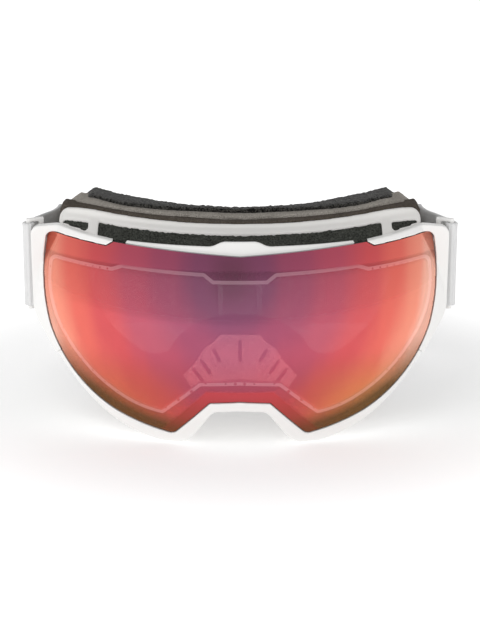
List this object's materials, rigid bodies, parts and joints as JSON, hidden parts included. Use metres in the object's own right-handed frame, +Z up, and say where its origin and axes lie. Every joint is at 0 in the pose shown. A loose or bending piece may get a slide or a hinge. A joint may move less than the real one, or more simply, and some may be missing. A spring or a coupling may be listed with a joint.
{
  "type": "ski goggles",
  "caption": "Ski goggles with a large spherical mirrored lens, white flexible frame, layered face foam, vents, hinged strap arms and an adjustable white strap.",
  "frame": {"origin": "bottom centre of the whole object's box, on the surface it rests on", "axes": "+X to the right as seen from the lens side, +Y back towards the wearer and the strap's rear, +Z up"},
  "size_m": [0.194, 0.1928, 0.0996],
  "materials": {
    "mirror_lens": "mirrored spherical pane, plum at the top running to red, orange and gold at the edges",
    "clear_pane": "clear inner pane",
    "gasket_foam": "closed-cell foam gasket",
    "carrier": "moulded ring, satin",
    "magnet": "plated disc magnets",
    "frame_white": "flexible moulded white polyurethane, satin",
    "rim_white": "hard moulded white plastic, gloss",
    "nose_fan": "soft translucent moulding",
    "vent_foam": "black open-cell foam",
    "foam_dark": "dark brown-grey soft foam",
    "foam_grey": "brown-grey soft foam",
    "fleece": "black brushed fleece",
    "pin_steel": "steel pin",
    "outrigger_white": "moulded white plastic",
    "strap": "white woven elastic webbing",
    "grip_silicone": "clear silicone bead",
    "hardware": "white moulded buckle plastic"
  },
  "bodies": {
    "frame": {"face_frame": "frame_white", "frame_magnets": "magnet", "lower_rim": "rim_white", "side_cap_left": "rim_white", "side_cap_right": "rim_white", "nose_bridge": "nose_fan", "vent_foam_top": "vent_foam", "vent_foam_side": "vent_foam", "vent_foam_bottom": "vent_foam", "foam_base": "foam_dark", "foam_mid": "foam_grey", "face_fleece": "fleece", "pivot_pin_left": "pin_steel", "pivot_pin_right": "pin_steel", "strap_left_side": "strap", "strap_right_side": "strap", "grip_left": "grip_silicone", "grip_right": "grip_silicone", "strap_left_rear": "strap", "buckle_socket": "hardware"},
    "lens": {"outer_lens": "mirror_lens", "inner_lens": "clear_pane", "lens_spacer": "gasket_foam", "lens_carrier": "carrier", "lens_trim": "rim_white", "lens_magnets": "magnet"},
    "outrigger_left": {"outrigger_left": "outrigger_white", "strap_left_loop": "strap"},
    "outrigger_right": {"outrigger_right": "outrigger_white", "strap_right_loop": "strap"},
    "slider_left": {"slider_left": "hardware"},
    "buckle_clip": {"buckle_clip": "hardware", "strap_right_rear": "strap"},
    "slider_right": {"slider_right": "hardware"}
  },
  "joints": [
    {"name": "lens_release", "type": "slide", "parent": "frame", "child": "lens", "axis": [0, -1, 0], "range_m": [0, 0.06]},
    {"name": "outrigger_left_pivot", "type": "hinge", "parent": "frame", "child": "outrigger_left", "pos_m": [-0.0855, -0.0394, 0.0683], "axis": [0, 0, -1], "range_deg": [0, 25], "deforming": ["strap_left_side"]},
    {"name": "outrigger_right_pivot", "type": "hinge", "parent": "frame", "child": "outrigger_right", "pos_m": [0.0855, -0.0394, 0.0683], "axis": [0, 0, 1], "range_deg": [0, 25], "deforming": ["strap_right_side"]},
    {"name": "slider_left_slide", "type": "slide", "parent": "frame", "child": "slider_left", "axis": [-1, 0, 0], "range_m": [0, 0.014]},
    {"name": "buckle_release", "type": "slide", "parent": "frame", "child": "buckle_clip", "axis": [1, 0, 0], "range_m": [0, 0.018], "deforming": ["strap_right_side"]},
    {"name": "slider_right_slide", "type": "slide", "parent": "buckle_clip", "child": "slider_right", "axis": [1, 0, 0], "range_m": [0, 0.014]}
  ]
}
